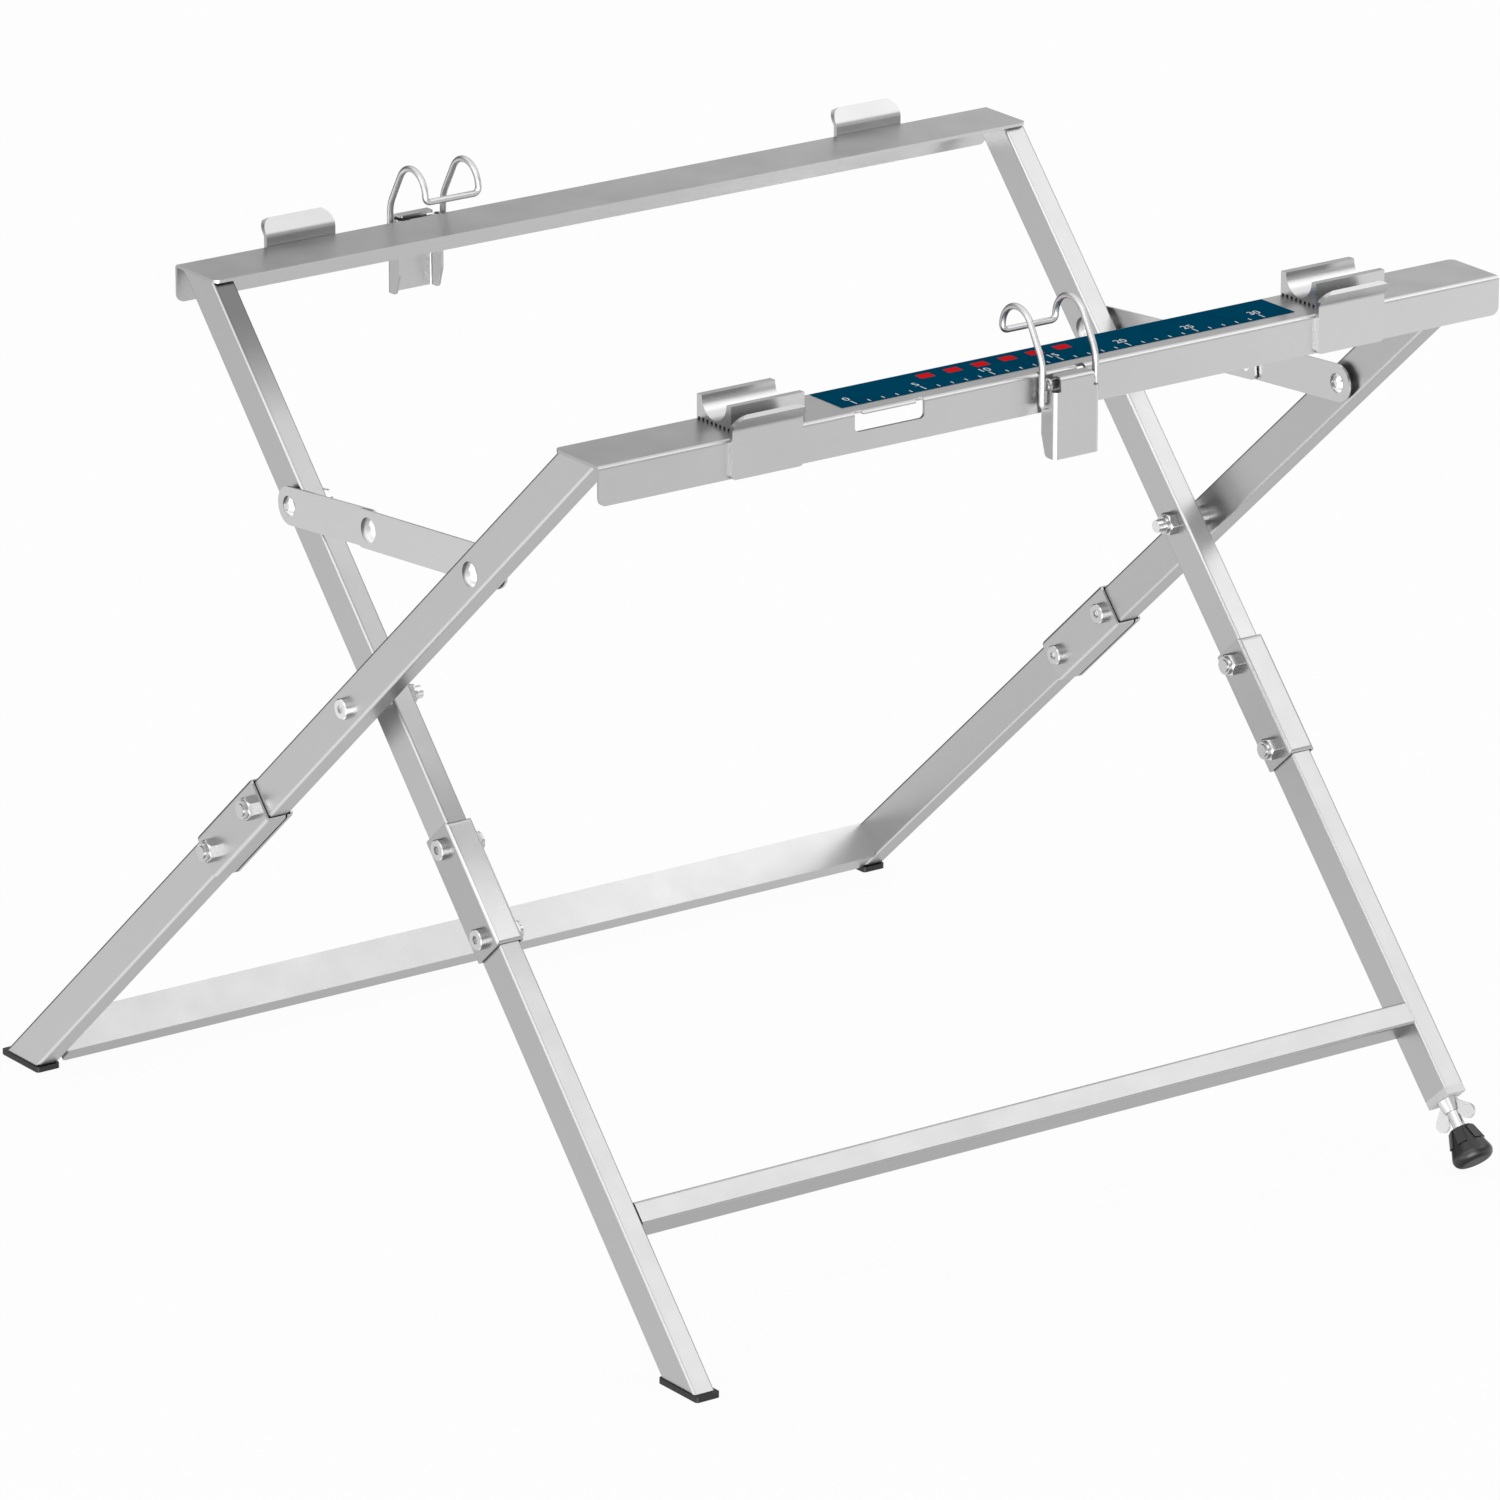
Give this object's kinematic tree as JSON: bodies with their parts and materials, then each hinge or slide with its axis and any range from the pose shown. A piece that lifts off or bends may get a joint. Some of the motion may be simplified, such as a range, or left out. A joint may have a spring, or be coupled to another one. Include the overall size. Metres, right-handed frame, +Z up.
{
  "type": "folding sawhorse",
  "caption": "Folding steel work stand for a bench-top saw: two scissor frames with notched cradles, stop plates and wire-bail latches on the rails, and a screw-out levelling foot.",
  "frame": {"origin": "on the floor, under the middle of the footprint of the opened stand", "axes": "+X runs along the rails towards the levelling foot, +Y points to the back, from the front rail to the rear rail, and +Z points up"},
  "size_m": [0.6816, 0.7272, 0.5989],
  "materials": {
    "leg_steel": "satin zinc",
    "sleeve_steel": "satin zinc",
    "sheet_steel": "satin zinc",
    "brace_steel": "satin zinc",
    "cradle_alloy": "extruded, satin",
    "label_film": "printed film",
    "cap_plastic": "moulded, satin",
    "plug_plastic": "moulded, satin",
    "foot_rubber": "moulded, slightly glossy",
    "wire_steel": "bright zinc",
    "fastener_steel": "bright zinc"
  },
  "bodies": {
    "frame_a": {"front_rail": "sheet_steel", "label": "label_film", "cradle_left": "cradle_alloy", "cradle_right": "cradle_alloy", "cradle_screws": "fastener_steel", "front_stop_left": "sheet_steel", "front_stop_right": "sheet_steel", "leg_a_upper_left": "leg_steel", "leg_a_lower_left": "leg_steel", "leg_a_upper_right": "leg_steel", "leg_a_lower_right": "leg_steel", "sleeve_a_left": "sleeve_steel", "sleeve_a_right": "sleeve_steel", "sleeve_bolts_a": "sleeve_steel", "sleeve_nuts_a": "fastener_steel", "rear_crossbar": "sheet_steel", "foot_caps_rear": "cap_plastic", "pivot_bolts": "fastener_steel", "pivot_spacers": "fastener_steel", "pivot_nuts": "fastener_steel", "latch_base_front": "sheet_steel", "brace_bolt_right": "fastener_steel", "brace_nut_right": "fastener_steel", "brace_spacer_right": "cap_plastic"},
    "frame_b": {"rear_rail": "sheet_steel", "rear_stop_left": "sheet_steel", "rear_stop_right": "sheet_steel", "leg_b_upper_left": "leg_steel", "leg_b_lower_left": "leg_steel", "leg_b_upper_right": "leg_steel", "leg_b_lower_right": "leg_steel", "sleeve_b_left": "sleeve_steel", "sleeve_b_right": "sleeve_steel", "sleeve_bolts_b": "sleeve_steel", "sleeve_nuts_b": "fastener_steel", "front_crossbar": "sheet_steel", "foot_cap_front_left": "cap_plastic", "leg_plug": "plug_plastic", "latch_base_rear": "sheet_steel", "brace_bolt_left": "fastener_steel", "brace_nut_left": "fastener_steel", "brace_spacer_left": "cap_plastic"},
    "brace_short_left": {"brace_short_left": "brace_steel", "knuckle_tail_left": "fastener_steel"},
    "brace_long_left": {"brace_long_left": "brace_steel", "brace_rivets_left": "fastener_steel"},
    "brace_short_right": {"brace_short_right": "brace_steel", "knuckle_tail_right": "fastener_steel"},
    "brace_long_right": {"brace_long_right": "brace_steel", "brace_rivets_right": "fastener_steel"},
    "lever_front": {"latch_lever_front": "sheet_steel", "latch_pin_front": "fastener_steel"},
    "bail_front": {"latch_bail_front": "wire_steel"},
    "lever_rear": {"latch_lever_rear": "sheet_steel", "latch_pin_rear": "fastener_steel"},
    "bail_rear": {"latch_bail_rear": "wire_steel"},
    "levelling_rod": {"foot_rod": "fastener_steel"},
    "rubber_foot": {"rubber_foot": "foot_rubber"},
    "wing_nut": {"wing_nut": "fastener_steel"}
  },
  "joints": [
    {"name": "fold", "type": "hinge", "parent": "frame_a", "child": "frame_b", "pos_m": [0, -0.03758, 0.342], "axis": [1, 0, 0], "range_deg": [0, 75]},
    {"name": "brace_short_left_pivot", "type": "hinge", "parent": "frame_b", "child": "brace_short_left", "pos_m": [0, 0.05183, 0.44113], "axis": [1, 0, 0], "range_deg": [0, 47.3]},
    {"name": "brace_long_left_pivot", "type": "hinge", "parent": "frame_a", "child": "brace_long_left", "pos_m": [0, -0.17058, 0.46091], "axis": [1, 0, 0], "range_deg": [-36.4, 0]},
    {"name": "brace_short_right_pivot", "type": "hinge", "parent": "frame_a", "child": "brace_short_right", "pos_m": [0, -0.17401, 0.46398], "axis": [1, 0, 0], "range_deg": [0, 136.4]},
    {"name": "brace_long_right_pivot", "type": "hinge", "parent": "frame_b", "child": "brace_long_right", "pos_m": [0, 0.05585, 0.44559], "axis": [1, 0, 0], "range_deg": [-100.9, 0]},
    {"name": "lever_front_pivot", "type": "hinge", "parent": "frame_a", "child": "lever_front", "pos_m": [0, -0.30942, 0.554], "axis": [-1, 0, 0], "range_deg": [0, 90]},
    {"name": "bail_front_pivot", "type": "hinge", "parent": "lever_front", "child": "bail_front", "pos_m": [0, -0.30942, 0.5417], "axis": [-1, 0, 0], "range_deg": [-90.5, 0]},
    {"name": "lever_rear_pivot", "type": "hinge", "parent": "frame_b", "child": "lever_rear", "pos_m": [-0.125, 0.18858, 0.554], "axis": [1, 0, 0], "range_deg": [0, 90]},
    {"name": "bail_rear_pivot", "type": "hinge", "parent": "lever_rear", "child": "bail_rear", "pos_m": [-0.125, 0.18858, 0.5417], "axis": [1, 0, 0], "range_deg": [-90.5, 0]},
    {"name": "levelling_slide", "type": "slide", "parent": "frame_b", "child": "levelling_rod", "axis": [0, -0.6698, -0.7426], "range_m": [0, 0.012]},
    {"name": "rubber_foot_turn", "type": "hinge", "parent": "levelling_rod", "child": "rubber_foot", "pos_m": [0.2975, -0.32823, 0.01977], "axis": [0, -0.6698, -0.7426], "continuous": true},
    {"name": "wing_nut_turn", "type": "hinge", "parent": "frame_b", "child": "wing_nut", "pos_m": [0.2975, -0.31389, 0.03567], "axis": [0, -0.6698, -0.7426], "continuous": true}
  ],
  "couplings": [
    {"joint": "brace_short_left_pivot", "follows": "fold", "ratio": 0.62913},
    {"joint": "brace_long_left_pivot", "follows": "fold", "ratio": -0.48285},
    {"joint": "brace_short_right_pivot", "follows": "fold", "ratio": 1.817},
    {"joint": "brace_long_right_pivot", "follows": "fold", "ratio": -1.3427},
    {"joint": "bail_front_pivot", "follows": "lever_front_pivot", "ratio": -1},
    {"joint": "bail_rear_pivot", "follows": "lever_rear_pivot", "ratio": -1}
  ]
}
